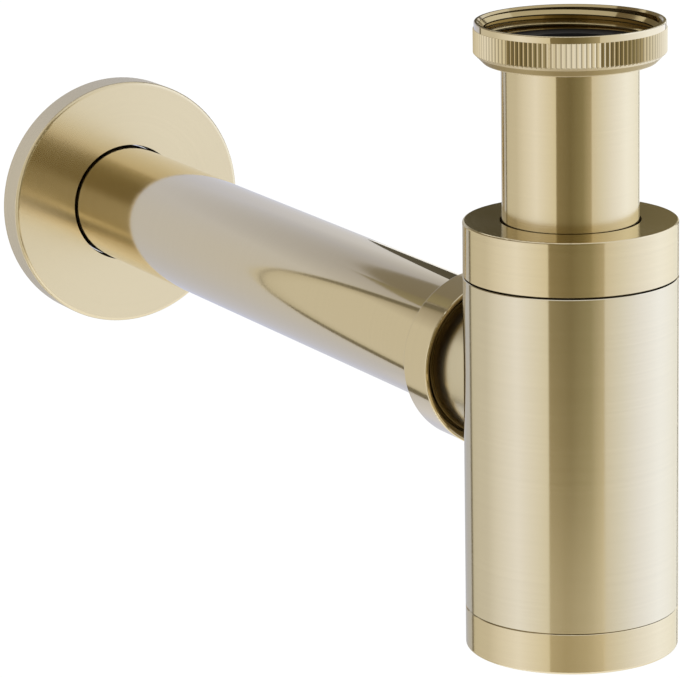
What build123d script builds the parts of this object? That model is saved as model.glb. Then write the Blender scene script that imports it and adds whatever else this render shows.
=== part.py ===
"""Bottle trap for a washbasin, in millimetres.

The inlet axis is Z, up. The outlet pipe runs along +Y to the wall. The origin is the centre of
the inlet washer's top face, where the basin's waste seals.
"""

import os

from build123d import *

# Tube and pipe
tube_r = 16.0
tube_wall = 1.2
tube_length = 126.0
tube_end_chamfer = 0.3

# Inlet coupling: its G 1 1/4 thread stands this far outside the tube, measured at the thread's root
inlet_thread_over_tube = 4.955
inlet_thread_length = 5.1
nut_rim_height = 5.6
nut_rim_wall = 1.2
nut_rim_edge = 0.25
rim_collar_height = 1.6
knurl_proud = 0.245
knurl_length = 5.5
knurl_count = 120
knurl_depth = 0.36
knurl_width = 1.25
nut_underside_chamfer = 2.5
nut_underside_round = 0.7
nut_floor = 1.2
nut_seat_step = 0.455
nut_on_tube = 0.3
washer_thickness = 1.6
washer_side_gap = 0.3
washer_hole_inset = 0.6
tube_collar_thickness = 1.2
tube_collar_lip = 3.3
tube_collar_round = 0.6

# Bottle
body_r = 25.2
body_wall = 2.5
body_height = 79.8
body_ceiling = 3.0
body_edge = 0.15
tube_show = 37.2
outlet_drop = 28.3

# Compression cap on the bottle's neck; the two parts of a screwed joint leave room for the thread
cap_height = 12.9
cap_plate = 3.0
cap_edge = 0.5
cap_seam = 0.4
cap_hole_gap = 0.5
neck_rise = 6.8
thread_room = 0.7
seal_cone_depth = 3.0
seal_cone_flare = 3.0

# Cleaning cap screwed into the bottle's lower end
base_height = 9.8
base_plate = 3.0
base_edge = 0.7
base_seam = 0.1
spigot_length = 7.5
spigot_wall = 2.5
base_ring_r = 0.9
base_ring_rise = 1.3

# Outlet neck and its compression nut
outlet_neck_wall = 1.6
outlet_thread_height = 0.4
outlet_thread_length = 4.0
outlet_neck_end = 39.0
neck_root_round = 0.8
pipe_stop = 27.5
pipe_stop_gap = 0.5
outlet_nut_wall = 2.0
outlet_nut_length = 10.9
outlet_nut_plate = 2.2
outlet_nut_reach = 4.5
outlet_nut_edge = 0.35
outlet_mouth_relief = 1.0
outlet_mouth_depth = 3.4
outlet_cone_depth = 2.0
outlet_cone_flare = 1.7

# Rings inside both compression joints
slip_thickness = 1.2
slip_gap = 0.3
seal_gap = 0.1
seal_lift = 0.15
guide_gap = 0.4

# Pipe to the wall and its cover plate
wall_plane = 254.1
pipe_stub = 30.0
pipe_mark_behind = 1.2
pipe_mark_width = 0.9
pipe_mark_depth = 0.3
flange_r = 34.5
flange_thickness = 8.7
flange_plate = 2.2
flange_rim = 2.0
flange_edge = 1.0
flange_hole_gap = 0.55
flange_hub_wall = 4.2
flange_ring_r = 1.1
ring_groove_gap = 0.05

# Levels along the inlet axis
collar_top = -washer_thickness
nut_seat = collar_top - tube_collar_thickness
nut_underside = nut_seat - nut_floor
rim_step = nut_rim_height - rim_collar_height
knurl_bottom = rim_step - knurl_length
tube_end = collar_top - tube_length
cap_top = nut_underside - tube_show
cap_bottom = cap_top - cap_height
plate_underside = cap_top - cap_plate
shoulder = cap_bottom - cap_seam
neck_top = shoulder + neck_rise
top_slip_bottom = plate_underside - slip_thickness
body_bottom = shoulder - body_height
base_top = body_bottom - base_seam
base_bottom = base_top - base_height
outlet_z = shoulder - outlet_drop

# Radii shared by pieces that fit together
tube_bore_r = tube_r - tube_wall
guide_r = tube_r + guide_gap
inlet_thread_r = tube_r + inlet_thread_over_tube
nut_rim_r = inlet_thread_r + nut_rim_wall
knurl_r = nut_rim_r + knurl_proud
nut_hole_r = tube_r + nut_on_tube
nut_seat_r = inlet_thread_r - nut_seat_step
washer_r = nut_seat_r - washer_side_gap
washer_hole_r = tube_bore_r - washer_hole_inset
chamber_r = body_r - body_wall
thread_r = chamber_r - thread_room
seal_mouth_r = guide_r + seal_cone_flare
outlet_seal_mouth_r = guide_r + outlet_cone_flare
outlet_neck_r = guide_r + outlet_neck_wall
outlet_thread_r = outlet_neck_r + outlet_thread_height
outlet_bore_r = outlet_thread_r + thread_room
spigot_bore_r = thread_r - spigot_wall
base_ring_centre_r = chamber_r - ring_groove_gap - base_ring_r
flange_bore_r = tube_r + flange_hole_gap
flange_ring_centre_r = tube_r + seal_gap + flange_ring_r

# Places along the outlet axis
pipe_start = pipe_stop + pipe_stop_gap
pipe_end = wall_plane + pipe_stub
flange_front = wall_plane - flange_thickness
flange_ring_y = wall_plane - flange_thickness / 2
nut_far = outlet_neck_end + outlet_nut_reach
nut_near = nut_far - outlet_nut_length
outlet_plate_face = nut_far - outlet_nut_plate
outlet_slip_face = outlet_plate_face - slip_thickness

outlet_axis = Axis((0, 0, outlet_z), (0, 1, 0))
outlet_plane = Plane.XY.offset(outlet_z)

# Knurled coupling nut: threaded cup whose floor bears up on the tube's collar
nut_hole_edge = tube_collar_round + nut_on_tube
with BuildPart() as coupling_nut:
    with BuildSketch(Plane.XZ):
        with BuildLine():
            Polyline(
                (nut_hole_r, nut_underside),
                (knurl_r - nut_underside_chamfer, nut_underside),
                (knurl_r, knurl_bottom),
                (knurl_r, rim_step),
                (nut_rim_r, rim_step),
                (nut_rim_r, nut_rim_height),
                (inlet_thread_r + nut_rim_height - inlet_thread_length, nut_rim_height),
                (inlet_thread_r, inlet_thread_length),
                (inlet_thread_r, 0),
                (nut_seat_r, 0),
                (nut_seat_r, nut_seat),
                (nut_hole_r + nut_hole_edge, nut_seat),
                (nut_hole_r, nut_seat - nut_hole_edge),
                close=True,
            )
        make_face()
    revolve(axis=Axis.Z)
    nut_circles = coupling_nut.edges().filter_by(GeomType.CIRCLE)
    fillet(nut_circles.group_by(Axis.Z)[0].sort_by(SortBy.RADIUS)[-1], nut_underside_round)
    nut_circles = coupling_nut.edges().filter_by(GeomType.CIRCLE)
    fillet(nut_circles.group_by(Axis.Z)[-1].sort_by(SortBy.RADIUS)[-1], nut_rim_edge)
    with BuildSketch(Plane.XY.offset(nut_underside)):
        with PolarLocations(knurl_r, knurl_count):
            Polygon(
                (-knurl_depth, 0),
                (knurl_depth, -knurl_width),
                (knurl_depth, knurl_width),
                align=None,
            )
    extrude(amount=rim_step - nut_underside, mode=Mode.SUBTRACT)
coupling_nut.part.label = "coupling_nut"

# Flat rubber washer on the tube's collar
with BuildPart() as inlet_washer:
    with BuildSketch(Plane.XY.offset(collar_top)):
        Circle(washer_r)
        Circle(washer_hole_r, mode=Mode.SUBTRACT)
    extrude(amount=washer_thickness)
inlet_washer.part.label = "inlet_washer"

# Dip tube with the flared collar that the nut pulls on
with BuildPart() as inlet_tube:
    with BuildSketch(Plane.XZ):
        with BuildLine():
            Polyline(
                (tube_bore_r, tube_end),
                (tube_r - tube_end_chamfer, tube_end),
                (tube_r, tube_end + tube_end_chamfer),
                (tube_r, nut_seat),
                (tube_r + tube_collar_lip, nut_seat),
                (tube_r + tube_collar_lip, collar_top),
                (tube_bore_r, collar_top),
                close=True,
            )
        make_face()
    revolve(axis=Axis.Z)
    tube_circles = inlet_tube.edges().filter_by(GeomType.CIRCLE)
    collar_corner = tube_circles.filter_by_position(Axis.Z, nut_seat, nut_seat).sort_by(SortBy.RADIUS)[0]
    fillet(collar_corner, tube_collar_round)
inlet_tube.part.label = "inlet_tube"

# Compression cap: plate with the tube's hole, and a skirt threaded onto the bottle's neck
with BuildPart() as top_cap:
    with BuildSketch(Plane.XZ):
        with BuildLine():
            Polyline(
                (tube_r + cap_hole_gap, plate_underside),
                (chamber_r, plate_underside),
                (chamber_r, cap_bottom),
                (body_r - body_edge, cap_bottom),
                (body_r, cap_bottom + body_edge),
                (body_r, cap_top),
                (tube_r + cap_hole_gap, cap_top),
                close=True,
            )
        make_face()
    revolve(axis=Axis.Z)
    top_edge = top_cap.edges().filter_by(GeomType.CIRCLE).group_by(Axis.Z)[-1].sort_by(SortBy.RADIUS)[-1]
    fillet(top_edge, cap_edge)
top_cap.part.label = "top_cap"

# Nylon ring that lets the cap turn without dragging the seal round
with BuildPart() as top_slip_ring:
    with BuildSketch(Plane.XY.offset(top_slip_bottom)):
        Circle(seal_mouth_r + slip_gap)
        Circle(tube_r + slip_gap, mode=Mode.SUBTRACT)
    extrude(amount=slip_thickness)
top_slip_ring.part.label = "top_slip_ring"

# Tapered rubber ring that the cap squeezes into the neck's cone
with BuildPart() as top_seal:
    with BuildSketch(Plane.XZ):
        with BuildLine():
            Polyline(
                (tube_r + seal_gap, neck_top - seal_cone_depth + seal_lift),
                (guide_r, neck_top - seal_cone_depth + seal_lift),
                (seal_mouth_r, neck_top + seal_lift),
                (seal_mouth_r, top_slip_bottom),
                (tube_r + seal_gap, top_slip_bottom),
                close=True,
            )
        make_face()
    revolve(axis=Axis.Z)
top_seal.part.label = "top_seal"

# Bottle: shell with a threaded neck on top and the outlet neck brazed into its side
with BuildPart() as trap_body:
    with BuildSketch(Plane.XZ):
        with BuildLine():
            Polyline(
                (0, body_bottom),
                (body_r - body_edge, body_bottom),
                (body_r, body_bottom + body_edge),
                (body_r, shoulder - body_edge),
                (body_r - body_edge, shoulder),
                (thread_r, shoulder),
                (thread_r, neck_top),
                (0, neck_top),
                close=True,
            )
        make_face()
    revolve(axis=Axis.Z)
    with BuildSketch(outlet_plane):
        with BuildLine():
            Polyline(
                (0, 0),
                (outlet_neck_r, 0),
                (outlet_neck_r, outlet_neck_end - outlet_thread_length),
                (outlet_thread_r, outlet_neck_end - outlet_thread_length),
                (outlet_thread_r, outlet_neck_end),
                (0, outlet_neck_end),
                close=True,
            )
        make_face()
    revolve(axis=outlet_axis)
    neck_root = trap_body.edges().filter_by(GeomType.BSPLINE)
    fillet(neck_root, neck_root_round)
    with BuildSketch(Plane.XZ):
        with BuildLine():
            Polyline(
                (0, body_bottom),
                (chamber_r, body_bottom),
                (chamber_r, shoulder - body_ceiling),
                (guide_r, shoulder - body_ceiling),
                (guide_r, neck_top - seal_cone_depth),
                (seal_mouth_r, neck_top),
                (0, neck_top),
                close=True,
            )
        make_face()
    revolve(axis=Axis.Z, mode=Mode.SUBTRACT)
    with BuildSketch(outlet_plane):
        with BuildLine():
            Polyline(
                (0, 0),
                (tube_bore_r, 0),
                (tube_bore_r, pipe_stop),
                (guide_r, pipe_stop),
                (guide_r, outlet_neck_end - outlet_cone_depth),
                (outlet_seal_mouth_r, outlet_neck_end),
                (0, outlet_neck_end),
                close=True,
            )
        make_face()
    revolve(axis=outlet_axis, mode=Mode.SUBTRACT)
trap_body.part.label = "trap_body"

# Cleaning cap: cup whose threaded spigot goes up into the bottle, with a groove for the O-ring
base_ring_z = base_top + base_ring_rise
groove_half = base_ring_r + ring_groove_gap
groove_root_r = base_ring_centre_r - groove_half
with BuildPart() as base_cap:
    with BuildSketch(Plane.XZ):
        with BuildLine():
            Polyline(
                (0, base_bottom),
                (body_r, base_bottom),
                (body_r, base_top - body_edge),
                (body_r - body_edge, base_top),
                (thread_r, base_top),
                (thread_r, base_ring_z - groove_half),
                (groove_root_r, base_ring_z - groove_half),
                (groove_root_r, base_ring_z + groove_half),
                (thread_r, base_ring_z + groove_half),
                (thread_r, base_top + spigot_length),
                (spigot_bore_r, base_top + spigot_length),
                (spigot_bore_r, base_bottom + base_plate),
                (0, base_bottom + base_plate),
                close=True,
            )
        make_face()
    revolve(axis=Axis.Z)
    bottom_edge = base_cap.edges().filter_by(GeomType.CIRCLE).group_by(Axis.Z)[0].sort_by(SortBy.RADIUS)[-1]
    fillet(bottom_edge, base_edge)
base_cap.part.label = "base_cap"

# O-ring on the cleaning cap's spigot
with BuildPart() as base_seal:
    with BuildSketch(Plane.XZ):
        with Locations((base_ring_centre_r, base_ring_z)):
            Circle(base_ring_r)
    revolve(axis=Axis.Z)
base_seal.part.label = "base_seal"

# Compression nut on the outlet neck, its open mouth towards the bottle
outlet_nut_r = outlet_bore_r + outlet_nut_wall
outlet_mouth_r = outlet_bore_r + outlet_mouth_relief
with BuildPart() as outlet_nut:
    with BuildSketch(outlet_plane):
        with BuildLine():
            Polyline(
                (outlet_mouth_r, nut_near),
                (outlet_nut_r, nut_near),
                (outlet_nut_r, nut_far),
                (nut_hole_r, nut_far),
                (nut_hole_r, outlet_plate_face),
                (outlet_bore_r, outlet_plate_face),
                (outlet_bore_r, nut_near + outlet_mouth_depth),
                (outlet_mouth_r, nut_near + outlet_mouth_depth),
                close=True,
            )
        make_face()
    revolve(axis=outlet_axis)
    nut_ends = outlet_nut.edges().filter_by(GeomType.CIRCLE).group_by(SortBy.RADIUS)[-1]
    fillet(nut_ends, outlet_nut_edge)
outlet_nut.part.label = "outlet_nut"

# Nylon ring between the outlet nut and its seal
with BuildPart() as outlet_slip_ring:
    with BuildSketch(outlet_plane):
        with BuildLine():
            Polyline(
                (tube_r + slip_gap, outlet_slip_face),
                (outlet_seal_mouth_r + slip_gap, outlet_slip_face),
                (outlet_seal_mouth_r + slip_gap, outlet_plate_face),
                (tube_r + slip_gap, outlet_plate_face),
                close=True,
            )
        make_face()
    revolve(axis=outlet_axis)
outlet_slip_ring.part.label = "outlet_slip_ring"

# Tapered rubber ring that the outlet nut squeezes into the neck's cone
with BuildPart() as outlet_seal:
    with BuildSketch(outlet_plane):
        with BuildLine():
            Polyline(
                (tube_r + seal_gap, outlet_neck_end - outlet_cone_depth + seal_lift),
                (guide_r, outlet_neck_end - outlet_cone_depth + seal_lift),
                (outlet_seal_mouth_r, outlet_neck_end + seal_lift),
                (outlet_seal_mouth_r, outlet_slip_face),
                (tube_r + seal_gap, outlet_slip_face),
                close=True,
            )
        make_face()
    revolve(axis=outlet_axis)
outlet_seal.part.label = "outlet_seal"

# Straight pipe from the outlet neck into the wall, with a turned line that marks its insertion depth
mark_start = wall_plane + pipe_mark_behind
with BuildPart() as outlet_pipe:
    with BuildSketch(outlet_plane):
        with BuildLine():
            Polyline(
                (tube_bore_r, pipe_start),
                (tube_r - tube_end_chamfer, pipe_start),
                (tube_r, pipe_start + tube_end_chamfer),
                (tube_r, mark_start),
                (tube_r - pipe_mark_depth, mark_start),
                (tube_r - pipe_mark_depth, mark_start + pipe_mark_width),
                (tube_r, mark_start + pipe_mark_width),
                (tube_r, pipe_end - tube_end_chamfer),
                (tube_r - tube_end_chamfer, pipe_end),
                (tube_bore_r, pipe_end),
                close=True,
            )
        make_face()
    revolve(axis=outlet_axis)
outlet_pipe.part.label = "outlet_pipe"

# Cover plate: dished from the back, with a hub round the pipe that holds an O-ring
ring_half = flange_ring_r + ring_groove_gap
ring_groove_r = flange_ring_centre_r + ring_half
with BuildPart() as wall_flange:
    with BuildSketch(outlet_plane):
        with BuildLine():
            Polyline(
                (flange_bore_r, flange_front),
                (flange_r, flange_front),
                (flange_r, wall_plane),
                (flange_r - flange_rim, wall_plane),
                (flange_r - flange_rim, flange_front + flange_plate),
                (flange_bore_r + flange_hub_wall, flange_front + flange_plate),
                (flange_bore_r + flange_hub_wall, wall_plane - flange_plate / 2),
                (flange_bore_r, wall_plane - flange_plate / 2),
                (flange_bore_r, flange_ring_y + ring_half),
                (ring_groove_r, flange_ring_y + ring_half),
                (ring_groove_r, flange_ring_y - ring_half),
                (flange_bore_r, flange_ring_y - ring_half),
                close=True,
            )
        make_face()
    revolve(axis=outlet_axis)
    flange_circles = wall_flange.edges().filter_by(GeomType.CIRCLE)
    fillet(flange_circles.group_by(Axis.Y)[0].sort_by(SortBy.RADIUS)[-1], flange_edge)
wall_flange.part.label = "wall_flange"

# O-ring that grips the pipe inside the cover plate's hub
with BuildPart() as flange_ring:
    with BuildSketch(outlet_plane):
        with Locations((flange_ring_centre_r, flange_ring_y)):
            Circle(flange_ring_r)
    revolve(axis=outlet_axis)
flange_ring.part.label = "flange_ring"

os.makedirs("parts", exist_ok=True)
export_step(coupling_nut.part, "parts/coupling_nut.step")
export_step(inlet_washer.part, "parts/inlet_washer.step")
export_step(inlet_tube.part, "parts/inlet_tube.step")
export_step(top_cap.part, "parts/top_cap.step")
export_step(top_slip_ring.part, "parts/top_slip_ring.step")
export_step(top_seal.part, "parts/top_seal.step")
export_step(trap_body.part, "parts/trap_body.step")
export_step(base_cap.part, "parts/base_cap.step")
export_step(base_seal.part, "parts/base_seal.step")
export_step(outlet_nut.part, "parts/outlet_nut.step")
export_step(outlet_slip_ring.part, "parts/outlet_slip_ring.step")
export_step(outlet_seal.part, "parts/outlet_seal.step")
export_step(outlet_pipe.part, "parts/outlet_pipe.step")
export_step(wall_flange.part, "parts/wall_flange.step")
export_step(flange_ring.part, "parts/flange_ring.step")
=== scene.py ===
import math
from collections import namedtuple

import bmesh
import bpy
from mathutils import Matrix, Vector


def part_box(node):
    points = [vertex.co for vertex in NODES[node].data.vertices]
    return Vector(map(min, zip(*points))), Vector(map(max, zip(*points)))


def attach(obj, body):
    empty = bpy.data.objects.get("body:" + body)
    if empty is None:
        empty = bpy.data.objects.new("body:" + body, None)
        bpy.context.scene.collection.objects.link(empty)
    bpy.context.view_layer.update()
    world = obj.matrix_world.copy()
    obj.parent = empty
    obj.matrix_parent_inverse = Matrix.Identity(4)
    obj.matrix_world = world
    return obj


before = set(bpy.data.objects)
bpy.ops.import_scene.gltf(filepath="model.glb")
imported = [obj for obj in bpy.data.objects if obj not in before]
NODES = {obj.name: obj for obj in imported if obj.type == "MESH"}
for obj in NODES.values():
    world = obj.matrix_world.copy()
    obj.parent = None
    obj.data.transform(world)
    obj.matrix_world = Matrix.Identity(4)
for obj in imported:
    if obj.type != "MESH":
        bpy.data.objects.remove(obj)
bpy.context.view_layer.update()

MM = 0.001
SCENE = bpy.context.scene
SCENE.view_settings.view_transform = "Standard"


class Turning:
    """An axis that pieces are turned about: its direction, a point on it, and two directions square to it."""

    def __init__(self, axis, centre, side):
        self.axis = Vector(axis)
        self.centre = Vector(centre)
        self.side = Vector(side)
        self.other = self.axis.cross(self.side)

    def level(self, node, end):
        """How far along the axis a node starts (end 0) or stops (end 1)."""
        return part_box(node)[end].dot(self.axis)

    def point(self, radius, angle, along):
        out = math.cos(angle) * self.side + math.sin(angle) * self.other
        return self.centre + radius * out + along * self.axis


pipe_low, pipe_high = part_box("outlet_pipe")
INLET = Turning((0, 0, 1), (0, 0, 0), (1, 0, 0))
OUTLET = Turning((0, 1, 0), (0, 0, (pipe_low.z + pipe_high.z) / 2), (1, 0, 0))

# Camera, fitted to the photograph's edges
CAMERA_PLACE = Vector((-0.495308, -0.831419, 0.175121))
CAMERA_AZIMUTH = math.radians(-27.5846)
CAMERA_ELEVATION = math.radians(14.1786)
CAMERA_ROLL = math.radians(-0.9635)
CAMERA_LENS = 225.63
CAMERA_SENSOR = 36.0


def add_camera():
    data = bpy.data.cameras.new("camera")
    data.sensor_width = CAMERA_SENSOR
    data.lens = CAMERA_LENS
    camera = bpy.data.objects.new("camera", data)
    turn = Matrix.Rotation(CAMERA_AZIMUTH, 4, "Z")
    tilt = Matrix.Rotation(math.pi / 2 - CAMERA_ELEVATION, 4, "X")
    roll = Matrix.Rotation(CAMERA_ROLL, 4, "Z")
    camera.matrix_world = Matrix.Translation(CAMERA_PLACE) @ turn @ tilt @ roll
    SCENE.collection.objects.link(camera)
    SCENE.camera = camera


class Nodes:
    """A material's node tree, with short calls for the nodes that the finishes share."""

    def __init__(self, name):
        self.material = bpy.data.materials.new(name)
        self.material.use_nodes = True
        self.tree = self.material.node_tree
        self.shader = self.tree.nodes["Principled BSDF"]
        self.output = self.tree.nodes["Material Output"]

    def add(self, kind, **settings):
        node = self.tree.nodes.new(kind)
        for key, value in settings.items():
            setattr(node, key, value)
        return node

    def put(self, value, socket):
        if isinstance(value, bpy.types.NodeSocket):
            self.tree.links.new(value, socket)
        else:
            socket.default_value = value

    def place(self):
        return self.add("ShaderNodeTexCoord").outputs["Object"]

    def vector(self, operation, first, second=None, output="Vector"):
        node = self.add("ShaderNodeVectorMath", operation=operation)
        self.put(first, node.inputs[0])
        if second is not None:
            self.put(second, node.inputs[1])
        return node.outputs[output]

    def math(self, operation, first, second=None):
        node = self.add("ShaderNodeMath", operation=operation)
        self.put(first, node.inputs[0])
        if second is not None:
            self.put(second, node.inputs[1])
        return node.outputs[0]

    def remap(self, value, low, high):
        node = self.add("ShaderNodeMapRange")
        self.put(value, node.inputs["Value"])
        node.inputs["To Min"].default_value = low
        node.inputs["To Max"].default_value = high
        return node.outputs["Result"]

    def noise(self, vector, scale=1.0, w=None, detail=2.0):
        node = self.add("ShaderNodeTexNoise", noise_dimensions="3D" if w is None else "4D")
        self.put(vector, node.inputs["Vector"])
        if w is not None:
            self.put(w, node.inputs["W"])
        node.inputs["Scale"].default_value = scale
        node.inputs["Detail"].default_value = detail
        return node.outputs["Fac"]

    def mix(self, value, low, high):
        """A number, colour or vector that goes from low to high with the value."""
        sample = low if not isinstance(low, bpy.types.NodeSocket) else None
        kind = "FLOAT" if isinstance(sample, float) else "RGBA"
        if sample is None and low.type in ("VALUE", "VECTOR"):
            kind = "FLOAT" if low.type == "VALUE" else "VECTOR"
        node = self.add("ShaderNodeMix", data_type=kind)
        used = [socket for socket in node.inputs if socket.enabled]
        self.put(value, used[0])
        for ingredient, socket in zip((low, high), used[1:]):
            self.put((*ingredient, 1) if isinstance(ingredient, tuple) else ingredient, socket)
        return next(socket for socket in node.outputs if socket.enabled)

    def bump(self, height, strength, distance):
        node = self.add("ShaderNodeBump")
        node.inputs["Strength"].default_value = strength
        node.inputs["Distance"].default_value = distance
        self.put(height, node.inputs["Height"])
        self.put(node.outputs["Normal"], self.shader.inputs["Normal"])


# Brushed brass: grooves run round the turning axis, so highlights spread along it
GROOVES_PER_METRE = 2200
GROOVE_BREAKS_PER_METRE = 8
GROOVE_OCTAVES = 2.0
GROOVE_DEPTH = 0.003 * MM
GROOVE_SHADE = 0.03
BRASS_ANISOTROPY = 0.92
QUARTER_TURN = 0.25
# Painted shade: the colour that the bottoms of the knurl darken towards, and zero for none of it
KNURL_SHADE_COLOUR = (0.10, 0.075, 0.03)
NOTHING = 0.0
LATHE_ROUGHNESS = 0.48

# A distance past every side of the object
EVERYWHERE = 1.0

# Brass finishes: colour seen head-on, least and greatest roughness, and the edge's tint at a glancing
# angle. Cut brass is a thread in the open, and dull brass a wall or a thread that is mostly out of sight.
# Both are darker than the outer brass as painted shade for the hollows they lie in, and dull brass is
# rougher.
Metal = namedtuple("Metal", ("colour", "roughness", "edge"))
BRASS = (0.80, 0.70, 0.49)
SOFT_EDGE = (0.82, 0.79, 0.68, 1)
BRUSHED = Metal(BRASS, (0.11, 0.16), SOFT_EDGE)
PALE_BRUSHED = Metal((0.80, 0.73, 0.57), (0.11, 0.16), SOFT_EDGE)
POLISHED = Metal(BRASS, (0.035, 0.055), (0.98, 0.98, 0.98, 1))
SATIN = Metal(BRASS, (0.18, 0.22), (0.90, 0.88, 0.80, 1))
CUT_SHADED = Metal((0.50, 0.40, 0.21), (0.10, 0.14), SOFT_EDGE)
DULL_SHADED = Metal((0.22, 0.16, 0.07), (0.33, 0.37), SOFT_EDGE)

# Moulded finishes: darkest and palest colour, least and greatest roughness, how fine the mottle and the
# grain are, and how strong the grain is
Moulded = namedtuple(
    "Moulded", ("colours", "roughness", "mottle_scale", "mottle_octaves", "grain_scale", "grain_strength")
)
RUBBER = Moulded(((0.009, 0.010, 0.013), (0.018, 0.019, 0.023)), (0.42, 0.6), 900.0, 4.0, 9000.0, 0.5)
NYLON = Moulded(((0.76, 0.76, 0.71), (0.84, 0.84, 0.80)), (0.38, 0.5), 250.0, 3.0, 5000.0, 0.4)
GRAIN_OCTAVES = 2.0
GRAIN_DEPTH = 0.01 * MM


class Turned:
    """Values that a turned surface's finish needs, worked out from its place about the turning's axis."""

    def __init__(self, nodes, turning):
        offset = nodes.vector("SUBTRACT", nodes.place(), turning.centre)
        outward = nodes.vector("SUBTRACT", offset, nodes.vector("MULTIPLY", offset, turning.axis))
        self.along = nodes.vector("DOT_PRODUCT", offset, turning.axis, "Value")
        self.radius = nodes.vector("LENGTH", outward, output="Value")
        self.around = nodes.vector("CROSS_PRODUCT", turning.axis, offset)
        breaks = Vector((1, 1, 1)) - turning.axis
        stretch = GROOVE_BREAKS_PER_METRE * breaks + GROOVES_PER_METRE * turning.axis
        self.grooves = nodes.noise(
            nodes.vector("MULTIPLY", offset, stretch),
            w=nodes.math("MULTIPLY", self.radius, GROOVES_PER_METRE),
            detail=GROOVE_OCTAVES,
        )

    def within(self, nodes, reach, low, high):
        """1 inside a reach of the axis and between two levels along it, and 0 elsewhere."""
        near = nodes.math("LESS_THAN", self.radius, reach)
        above = nodes.math("GREATER_THAN", self.along, low)
        below = nodes.math("LESS_THAN", self.along, high)
        return nodes.math("MULTIPLY", near, nodes.math("MULTIPLY", above, below))


def finish_brass(nodes, metal, grooves, around, inner=DULL_SHADED, shaded_inside=NOTHING, painted_shade=NOTHING, turned=NOTHING):
    """The outer metal, and the inner metal where the inside mask is 1, whose dark colour is painted shade for
    hollows; a second mask darkens the colour further with painted shade.

    Where turned is 1, the surface is as rough as the lathe left it.
    """
    shader = nodes.shader
    shader.inputs["Metallic"].default_value = 1.0
    shader.inputs["Specular Tint"].default_value = metal.edge
    shader.inputs["Anisotropic"].default_value = BRASS_ANISOTROPY
    shader.inputs["Anisotropic Rotation"].default_value = QUARTER_TURN
    to_world = nodes.add(
        "ShaderNodeVectorTransform", vector_type="VECTOR", convert_from="OBJECT", convert_to="WORLD"
    )
    nodes.put(around, to_world.inputs[0])
    nodes.put(to_world.outputs[0], shader.inputs["Tangent"])
    darker = tuple((1 - GROOVE_SHADE) * part for part in metal.colour)
    lighter = tuple((1 + GROOVE_SHADE) * part for part in metal.colour)
    outer_roughness = nodes.remap(grooves, *metal.roughness)
    inner_roughness = nodes.remap(grooves, *inner.roughness)
    # Painted shade: the inner metal's dark colour stands for shade in hollows, and the shade mask darkens the
    # knurl's groove bottoms
    colour = nodes.mix(shaded_inside, nodes.mix(grooves, darker, lighter), inner.colour)
    nodes.put(nodes.mix(painted_shade, colour, KNURL_SHADE_COLOUR), shader.inputs["Base Color"])
    roughness = nodes.mix(shaded_inside, outer_roughness, inner_roughness)
    nodes.put(nodes.mix(turned, roughness, LATHE_ROUGHNESS), shader.inputs["Roughness"])
    nodes.bump(grooves, 1.0, GROOVE_DEPTH)
    return nodes.material


def finish(node, material):
    """Give a node one material all over."""
    for slot in NODES[node].material_slots:
        slot.material = material


def brushed_brass(node, turning, metal, reach, low=-EVERYWHERE, high=EVERYWHERE):
    """A node's finish. Inside the reach, between low and high along the axis, it is dull metal darkened as
    painted shade.
    """
    nodes = Nodes(node + "_finish")
    turned = Turned(nodes, turning)
    shaded_inside = turned.within(nodes, reach, low, high)
    finish(node, finish_brass(nodes, metal, turned.grooves, turned.around, shaded_inside=shaded_inside))


# How far the dull or cut metal, darkened as painted shade, starts behind a face that shows, and behind a wall
# or a rounded edge
FACE = 0.3 * MM
SKIN = 1.2 * MM

# Radii and levels of the pieces, and how deep and how dense the painted shade in the bottoms of the knurl is
SCREW_BORE = 22.7 * MM
OUTLET_MOUTH = 20.1 * MM
TUBE_BORE = 14.8 * MM
NECK_BORE = 17.2 * MM
NECK_THREAD_START = 35.0 * MM
INLET_THREAD_ROOT = 20.955 * MM
NUT_RIM_WALL = 1.2 * MM
NUT_RIM_MIDDLE = INLET_THREAD_ROOT + NUT_RIM_WALL / 2
KNURL_ROOT = 22.04 * MM
KNURL_LOW = -1.5 * MM
KNURL_HIGH = 4.0 * MM
KNURL_SHADE_DEPTH = 0.16 * MM
KNURL_SHADE = 0.65


def nut_brass():
    """The coupling nut: polished, with a cut thread inside, its inner brass darkened as painted shade, and
    dark lines of painted shade in the bottoms of the knurl.

    Its underside is left as turned.
    """
    nodes = Nodes("coupling_nut_finish")
    turned = Turned(nodes, INLET)
    # Painted shade: inside the nut the brass takes the darker cut brass
    shaded_inside = turned.within(nodes, NUT_RIM_MIDDLE, INLET.level("coupling_nut", 0) + FACE, EVERYWHERE)
    on_knurl = nodes.math("SUBTRACT", turned.within(nodes, EVERYWHERE, KNURL_LOW, KNURL_HIGH), shaded_inside)
    # Painted shade: the knurl's colour darkens towards the bottoms of its grooves
    above_root = nodes.math("DIVIDE", nodes.math("SUBTRACT", turned.radius, KNURL_ROOT), KNURL_SHADE_DEPTH)
    painted_shade = nodes.math("MULTIPLY", on_knurl, nodes.remap(above_root, KNURL_SHADE, NOTHING))
    under = turned.within(nodes, EVERYWHERE, -EVERYWHERE, KNURL_LOW)
    brass = finish_brass(
        nodes, POLISHED, turned.grooves, turned.around, inner=CUT_SHADED, shaded_inside=shaded_inside, painted_shade=painted_shade, turned=under
    )
    finish("coupling_nut", brass)


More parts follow.
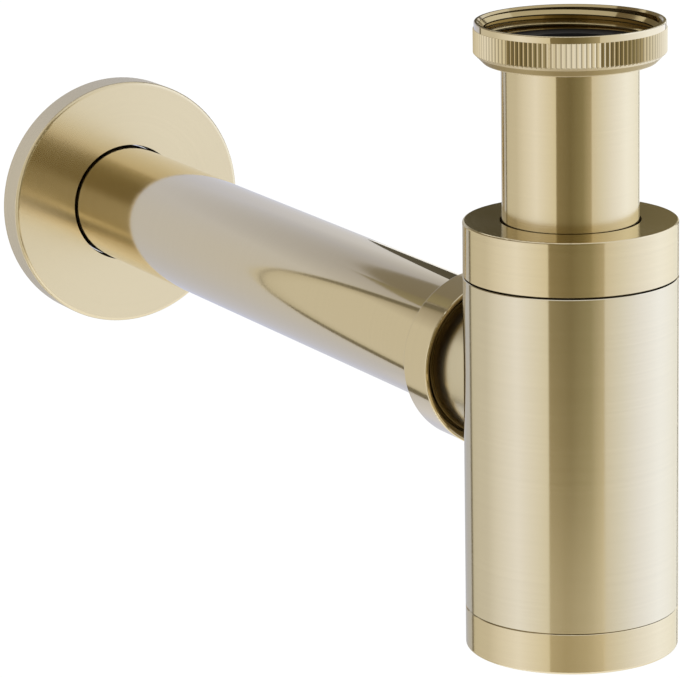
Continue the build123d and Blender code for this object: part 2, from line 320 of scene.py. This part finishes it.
def bottle_brass():
    """The bottle is brushed round the inlet axis, and the neck in its side round the outlet axis."""
    nodes = Nodes("trap_body_finish")
    bottle = Turned(nodes, INLET)
    neck = Turned(nodes, OUTLET)
    body_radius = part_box("trap_body")[1].x
    on_neck = nodes.math("GREATER_THAN", bottle.radius, body_radius + FACE)
    inside = bottle.within(nodes, body_radius - SKIN, -EVERYWHERE, EVERYWHERE)
    in_neck = neck.within(nodes, NECK_BORE, 0.0, EVERYWHERE)
    thread = neck.within(nodes, EVERYWHERE, NECK_THREAD_START - FACE, EVERYWHERE)
    # Painted shade: inside the bottle, inside the neck and on the neck's thread the brass takes the darker
    # dull metal
    shaded_inside = nodes.math("MAXIMUM", inside, nodes.math("MAXIMUM", in_neck, thread))
    grooves = nodes.mix(on_neck, bottle.grooves, neck.grooves)
    around = nodes.mix(on_neck, bottle.around, neck.around)
    finish("trap_body", finish_brass(nodes, PALE_BRUSHED, grooves, around, shaded_inside=shaded_inside))


def moulded(name, kind):
    """Rubber or nylon: a soft mottle in its colour and roughness, and a fine grain over it."""
    nodes = Nodes(name + "_finish")
    mottle = nodes.noise(nodes.place(), scale=kind.mottle_scale, detail=kind.mottle_octaves)
    grain = nodes.noise(nodes.place(), scale=kind.grain_scale, detail=GRAIN_OCTAVES)
    nodes.put(nodes.mix(mottle, *kind.colours), nodes.shader.inputs["Base Color"])
    nodes.put(nodes.remap(mottle, *kind.roughness), nodes.shader.inputs["Roughness"])
    nodes.bump(grain, kind.grain_strength, GRAIN_DEPTH)
    return nodes.material


def dress():
    """Finish every node."""
    cap_top = INLET.level("top_cap", 1)
    base_under = INLET.level("base_cap", 0)
    nut_far = OUTLET.level("outlet_nut", 1)
    flange_face = OUTLET.level("wall_flange", 0)
    flange_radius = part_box("wall_flange")[1].x
    nut_brass()
    brushed_brass("inlet_tube", INLET, BRUSHED, TUBE_BORE + FACE)
    brushed_brass("top_cap", INLET, BRUSHED, SCREW_BORE + FACE, high=cap_top - FACE)
    brushed_brass("base_cap", INLET, BRUSHED, SCREW_BORE + FACE, low=base_under + FACE)
    bottle_brass()
    brushed_brass("outlet_nut", OUTLET, POLISHED, OUTLET_MOUTH + FACE, high=nut_far - FACE)
    brushed_brass("outlet_pipe", OUTLET, POLISHED, TUBE_BORE + FACE)
    brushed_brass("wall_flange", OUTLET, SATIN, flange_radius - FACE, low=flange_face + SKIN)
    black = moulded("black_rubber", RUBBER)
    for node in ("inlet_washer", "top_seal", "base_seal", "outlet_seal", "flange_ring"):
        finish(node, black)
    white = moulded("white_nylon", NYLON)
    for node in ("top_slip_ring", "outlet_slip_ring"):
        finish(node, white)


# Screw threads: each is one ridge wound on the plain wall that the solids have. The two threads of a
# joint lie half a pitch apart, so they pass clear of each other as the joint unscrews.
RIDGE_STEPS_PER_TURN = 96
RIDGE_FADE_STEPS = 14
RIDGE_SINK = 0.05 * MM
SCREW_PITCH = 1.5 * MM
INLET_PITCH = 2.309 * MM
PAIRED_ROOT = 0.55
LONE_ROOT = 0.95
CREST_SHARE = 0.14
SHARP_ANGLE = math.radians(30)
WELD_DISTANCE = 0.001 * MM

# Radii of the threads' plain walls and crests. The cap's and the base's threads are the same size
INLET_CREST = 20.0 * MM
MALE_WALL = 22.0 * MM
MALE_CREST = 22.5 * MM
FEMALE_CREST = 22.2 * MM
OUTLET_MALE_WALL = 18.4 * MM
OUTLET_MALE_CREST = 18.9 * MM
OUTLET_FEMALE_WALL = 19.1 * MM
OUTLET_FEMALE_CREST = 18.6 * MM

# Levels of the inlet thread, and how far the other threads stay from the ends of their walls
INLET_THREAD_LOW = 0.15 * MM
INLET_THREAD_HIGH = 5.25 * MM
THREAD_MARGIN = 0.6 * MM
BASE_THREAD_RISE = 2.8 * MM
OUTLET_MALE_LEAD = 0.5 * MM
OUTLET_FEMALE_LEAD = 1.6 * MM

# How many turns each thread lags
INLET_LAG = 0.3
MALE_LAG = 0.0
FEMALE_LAG = 0.5


def add_thread(name, body, turning, wall, crest, low, high, pitch, lag, root, metal):
    """A right-hand ridge from its wall radius to its crest, cut off square at two levels. Lag is in turns.

    Root is the share of the pitch that the ridge takes up at its wall.
    """
    steps = math.floor(RIDGE_STEPS_PER_TURN * (high - low) / pitch)
    into_wall = RIDGE_SINK if wall > crest else -RIDGE_SINK
    mesh = bmesh.new()
    rings = []
    for step in range(steps + 1):
        along = low + pitch * step / RIDGE_STEPS_PER_TURN
        angle = 2 * math.pi * (along / pitch - lag)
        rise = min(1.0, step / RIDGE_FADE_STEPS, (steps - step) / RIDGE_FADE_STEPS)
        top = wall + into_wall + rise * (crest - wall - into_wall)
        section = (
            (wall + into_wall, -root),
            (top, -CREST_SHARE),
            (top, CREST_SHARE),
            (wall + into_wall, root),
        )
        ring = []
        for radius, share in section:
            place = min(high, max(low, along + share * pitch / 2))
            ring.append(mesh.verts.new(turning.point(radius, angle, place)))
        rings.append(ring)
    corners = len(rings[0])
    for ring, following in zip(rings, rings[1:]):
        for corner in range(corners):
            after = (corner + 1) % corners
            mesh.faces.new((ring[corner], ring[after], following[after], following[corner]))
    mesh.faces.new(rings[0])
    mesh.faces.new(rings[-1])
    bmesh.ops.remove_doubles(mesh, verts=mesh.verts, dist=WELD_DISTANCE)
    bmesh.ops.recalc_face_normals(mesh, faces=mesh.faces)
    data = bpy.data.meshes.new(name)
    mesh.to_mesh(data)
    mesh.free()
    data.shade_smooth()
    data.set_sharp_from_angle(angle=SHARP_ANGLE)
    nodes = Nodes(name + "_finish")
    turned = Turned(nodes, turning)
    data.materials.append(finish_brass(nodes, metal, turned.grooves, turned.around))
    thread = bpy.data.objects.new(name, data)
    SCENE.collection.objects.link(thread)
    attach(thread, body)


def add_threads():
    cap_low = INLET.level("top_cap", 0)
    neck_top = INLET.level("trap_body", 1)
    base_start = INLET.level("trap_body", 0) + BASE_THREAD_RISE
    spigot_top = INLET.level("base_cap", 1)
    male_start = NECK_THREAD_START + OUTLET_MALE_LEAD
    female_start = NECK_THREAD_START + OUTLET_FEMALE_LEAD
    neck_end = OUTLET.level("trap_body", 1)
    # The threads take cut or dull brass, darkened as painted shade for the hollows they lie in
    add_thread(
        "coupling_nut_thread", "nut", INLET, INLET_THREAD_ROOT, INLET_CREST,
        INLET_THREAD_LOW, INLET_THREAD_HIGH, INLET_PITCH, INLET_LAG, LONE_ROOT, CUT_SHADED,
    )
    add_thread(
        "neck_thread", "bottle", INLET, MALE_WALL, MALE_CREST,
        cap_low + THREAD_MARGIN, neck_top - THREAD_MARGIN, SCREW_PITCH, MALE_LAG, PAIRED_ROOT, DULL_SHADED,
    )
    add_thread(
        "cap_thread", "cap", INLET, SCREW_BORE, FEMALE_CREST,
        cap_low + THREAD_MARGIN, neck_top + THREAD_MARGIN, SCREW_PITCH, FEMALE_LAG, PAIRED_ROOT, DULL_SHADED,
    )
    add_thread(
        "bottle_base_thread", "bottle", INLET, SCREW_BORE, FEMALE_CREST,
        base_start, spigot_top + THREAD_MARGIN, SCREW_PITCH, FEMALE_LAG, PAIRED_ROOT, DULL_SHADED,
    )
    add_thread(
        "base_thread", "base", INLET, MALE_WALL, MALE_CREST,
        base_start, spigot_top - THREAD_MARGIN, SCREW_PITCH, MALE_LAG, PAIRED_ROOT, DULL_SHADED,
    )
    add_thread(
        "outlet_neck_thread", "bottle", OUTLET, OUTLET_MALE_WALL, OUTLET_MALE_CREST,
        male_start, neck_end - THREAD_MARGIN, SCREW_PITCH, MALE_LAG, PAIRED_ROOT, DULL_SHADED,
    )
    add_thread(
        "outlet_nut_thread", "outlet_collar", OUTLET, OUTLET_FEMALE_WALL, OUTLET_FEMALE_CREST,
        female_start, neck_end + THREAD_MARGIN, SCREW_PITCH, FEMALE_LAG, PAIRED_ROOT, DULL_SHADED,
    )


# Studio: white floor and world, which metal sees as the camera does
FLOOR_HEIGHT = -0.55
FLOOR_SIZE = 40.0
FLOOR_COLOUR = (0.86, 0.86, 0.86, 1)
FLOOR_LIFT = 0.52
WHITE = (1, 1, 1, 1)
PLAIN_LIGHT = 0.6


def seen_directly(tree):
    """1 for what the camera sees, also in metal or through glass, and 0 for plain lighting."""
    path = tree.nodes.new("ShaderNodeLightPath")
    either = tree.nodes.new("ShaderNodeMath")
    either.operation = "MAXIMUM"
    tree.links.new(path.outputs["Is Camera Ray"], either.inputs[0])
    tree.links.new(path.outputs["Is Glossy Ray"], either.inputs[1])
    seen = tree.nodes.new("ShaderNodeMath")
    seen.operation = "MAXIMUM"
    tree.links.new(either.outputs[0], seen.inputs[0])
    tree.links.new(path.outputs["Is Transmission Ray"], seen.inputs[1])
    return seen.outputs[0]


def add_world():
    world = bpy.data.worlds.new("studio")
    world.use_nodes = True
    SCENE.world = world
    tree = world.node_tree
    strength = tree.nodes.new("ShaderNodeMapRange")
    strength.inputs["To Min"].default_value = PLAIN_LIGHT
    strength.inputs["To Max"].default_value = 1.0
    tree.links.new(seen_directly(tree), strength.inputs["Value"])
    background = tree.nodes["Background"]
    background.inputs["Color"].default_value = WHITE
    tree.links.new(strength.outputs["Result"], background.inputs["Strength"])


def add_floor():
    half = FLOOR_SIZE / 2
    corners = [(-half, -half, 0), (half, -half, 0), (half, half, 0), (-half, half, 0)]
    mesh = bpy.data.meshes.new("floor")
    mesh.from_pydata(corners, [], [(0, 1, 2, 3)])
    floor = bpy.data.objects.new("floor", mesh)
    floor.location.z = FLOOR_HEIGHT
    SCENE.collection.objects.link(floor)
    nodes = Nodes("floor_finish")
    nodes.shader.inputs["Base Color"].default_value = FLOOR_COLOUR
    nodes.shader.inputs["Roughness"].default_value = 1.0
    nodes.shader.inputs["Specular IOR Level"].default_value = 0.0
    nodes.shader.inputs["Emission Color"].default_value = WHITE
    lift = nodes.math("MULTIPLY", seen_directly(nodes.tree), FLOOR_LIFT)
    nodes.put(lift, nodes.shader.inputs["Emission Strength"])
    mesh.materials.append(nodes.material)


# Reflector cards that stand round the set, seen only in the metal. Each is a curved strip. Its distances,
# at its two ends, and its heights are in metres. A colour's key is its place, in degrees to the right of
# the camera. A tint's key is its height, and the lowest and highest are the card's edges.
CARD_STEP = math.radians(2)
PLAIN = (1, 1, 1)
FULL_HEIGHT = {-0.50: PLAIN, 0.60: PLAIN}
LEFT_SHADE = (0.36, 0.32, 0.26)
TABLE_FOOT = (1.7, 1.65, 1.6)
TABLE_SHADE = (0.40, 0.38, 0.33)
TABLE_LIGHT = (1.25, 1.25, 1.25)
BACK_SHADE = (0.40, 0.345, 0.225)
CARDS = {
    "left_panel": {
        "distances": (0.38, 0.38),
        "colours": {
            -23: (0.77, 0.72, 0.58),
            -58: (0.93, 0.92, 0.92),
            -84: (0.80, 0.77, 0.71),
            -100: (0.68, 0.645, 0.565),
        },
        "tints": {-0.50: PLAIN, 0.02: PLAIN, 0.12: LEFT_SHADE, 0.60: LEFT_SHADE},
    },
    "left_wing": {
        "distances": (0.38, 0.305),
        "colours": {
            -100: (0.68, 0.645, 0.565),
            -127.8: (0.67, 0.635, 0.55),
            -129.9: (0.57, 0.53, 0.43),
        },
        "tints": {-0.50: PLAIN, 0.00: PLAIN, 0.09: LEFT_SHADE, 0.60: LEFT_SHADE},
    },
    "left_gap": {
        "distances": (0.304, 0.225),
        "colours": {-129.8: (0.20, 0.18, 0.13), -132.7: (0.17, 0.15, 0.11)},
        "tints": FULL_HEIGHT,
    },
    "left_return": {
        "distances": (0.304, 0.225),
        "colours": {-130.0: (0.57, 0.53, 0.43), -132.9: (0.67, 0.635, 0.55)},
        "tints": FULL_HEIGHT,
    },
    "right_panel": {
        "distances": (0.54, 0.54),
        "colours": {
            35: (0.72, 0.67, 0.56),
            53: (0.81, 0.80, 0.76),
            75: (0.93, 0.95, 1.02),
            106: (1.08, 1.14, 1.30),
            157: (1.12, 1.17, 1.32),
        },
        "tints": FULL_HEIGHT,
    },
    "right_gap": {
        "distances": (0.58, 0.58),
        "colours": {156: (0.12, 0.11, 0.09), 161: (0.12, 0.11, 0.09)},
        "tints": FULL_HEIGHT,
    },
    "dark_flag": {
        "distances": (0.50, 0.50),
        "colours": {
            -23: (0.255, 0.21, 0.115),
            0: (0.18, 0.147, 0.072),
            20: (0.26, 0.225, 0.125),
            35: (0.46, 0.405, 0.275),
        },
        "tints": {-0.262: (1.5, 1.5, 1.5), -0.12: PLAIN, 0.60: PLAIN},
    },
    "front_table": {
        "distances": (0.56, 0.56),
        "colours": {
            -24: (0.56, 0.50, 0.36),
            -6: (0.48, 0.42, 0.28),
            15: (0.55, 0.49, 0.35),
            36: (0.70, 0.64, 0.51),
        },
        "tints": {
            -0.55: TABLE_FOOT,
            -0.48: TABLE_FOOT,
            -0.45: TABLE_SHADE,
            -0.36: TABLE_SHADE,
            -0.33: TABLE_LIGHT,
            -0.20: TABLE_LIGHT,
            0.00: PLAIN,
        },
    },
    "back_board": {
        "distances": (0.40, 0.40),
        "colours": {
            -126: (0.64, 0.635, 0.66),
            -140: (0.61, 0.625, 0.73),
            -160: (0.62, 0.65, 0.81),
            -172.5: (0.70, 0.71, 0.77),
        },
        "tints": {
            -0.50: (1.55, 1.48, 1.25),
            -0.37: (1.40, 1.34, 1.16),
            -0.29: PLAIN,
            0.03: PLAIN,
            0.115: (0.76, 0.73, 0.66),
            0.117: BACK_SHADE,
            0.28: BACK_SHADE,
        },
    },
    "back_shade": {
        "distances": (0.395, 0.395),
        "colours": {-134: (0.325, 0.295, 0.19), -141.5: (0.255, 0.225, 0.155)},
        "tints": {0.105: PLAIN, 0.28: PLAIN},
    },
    "back_flag": {
        "distances": (0.42, 0.42),
        "colours": {
            -172.5: (0.11, 0.10, 0.075),
            -178: (0.085, 0.075, 0.05),
            -184: (0.20, 0.175, 0.11),
            -193: (0.27, 0.24, 0.16),
        },
        "tints": {-0.07: PLAIN, 0.28: PLAIN},
    },
}
CEILING_HEIGHT = 0.62
CEILING_HALF = 0.6
CEILING_COLOUR = (0.80, 0.80, 0.80, 1)


def add_ramp(nodes, place, colours):
    """Colours that follow each other from the first key, at place 0, to the last, at place 1."""
    ramp = nodes.add("ShaderNodeValToRGB")
    nodes.put(place, ramp.inputs["Fac"])
    stops = ramp.color_ramp.elements
    while len(stops) < len(colours):
        stops.new(0.5)
    first, *_, last = colours
    for stop, (key, colour) in zip(stops, colours.items()):
        stop.position = (key - first) / (last - first)
        stop.color = (*colour, 1)
    return ramp.outputs["Color"]


def card_material(name, colours, tints):
    """A card's light: its colours from end to end, times its tints from foot to head."""
    nodes = Nodes(name + "_finish")
    split = nodes.add("ShaderNodeSeparateXYZ")
    nodes.put(nodes.add("ShaderNodeUVMap").outputs["UV"], split.inputs[0])
    colour = add_ramp(nodes, split.outputs["X"], colours)
    tint = add_ramp(nodes, split.outputs["Y"], tints)
    light = nodes.add("ShaderNodeEmission")
    nodes.put(nodes.vector("MULTIPLY", colour, tint), light.inputs["Color"])
    nodes.put(light.outputs["Emission"], nodes.output.inputs["Surface"])
    return nodes.material


def add_card(name, distances, colours, tints):
    """A card from its first colour's place to its last, and from its lowest tint's height to its highest."""
    near, far = distances
    first, *_, last = colours
    low, *_, high = tints
    start = math.atan2(CAMERA_PLACE.y, CAMERA_PLACE.x) + math.radians(first)
    sweep = math.radians(last - first)
    count = max(2, math.ceil(abs(sweep) / CARD_STEP))
    points = []
    faces = []
    for step in range(count + 1):
        angle = start + sweep * step / count
        distance = near + (far - near) * step / count
        x = distance * math.cos(angle)
        y = distance * math.sin(angle)
        points += [(x, y, low), (x, y, high)]
        if step:
            faces.append((2 * step - 2, 2 * step, 2 * step + 1, 2 * step - 1))
    mesh = bpy.data.meshes.new(name)
    mesh.from_pydata(points, [], faces)
    spread = mesh.uv_layers.new(name="spread")
    for loop in mesh.loops:
        spread.data[loop.index].uv = (loop.vertex_index // 2 / count, loop.vertex_index % 2)
    mesh.materials.append(card_material(name, colours, tints))
    show_only_in_metal(name, mesh)


def add_ceiling():
    """A pale canopy over the set, which closes it above the cards."""
    half = CEILING_HALF
    outline = [(-half, -half), (half, -half), (half, half), (-half, half)]
    corners = [(x, y, CEILING_HEIGHT) for x, y in outline]
    mesh = bpy.data.meshes.new("ceiling")
    mesh.from_pydata(corners, [], [(0, 1, 2, 3)])
    nodes = Nodes("ceiling_finish")
    light = nodes.add("ShaderNodeEmission")
    light.inputs["Color"].default_value = CEILING_COLOUR
    nodes.put(light.outputs["Emission"], nodes.output.inputs["Surface"])
    mesh.materials.append(nodes.material)
    show_only_in_metal("ceiling", mesh)


def show_only_in_metal(name, mesh):
    """Set up a card that only reflections see."""
    card = bpy.data.objects.new(name, mesh)
    card.visible_camera = False
    card.visible_diffuse = False
    card.visible_transmission = False
    card.visible_shadow = False
    SCENE.collection.objects.link(card)


add_camera()
dress()
add_threads()
add_world()
add_floor()
add_ceiling()
for name, card in CARDS.items():
    add_card(name, **card)
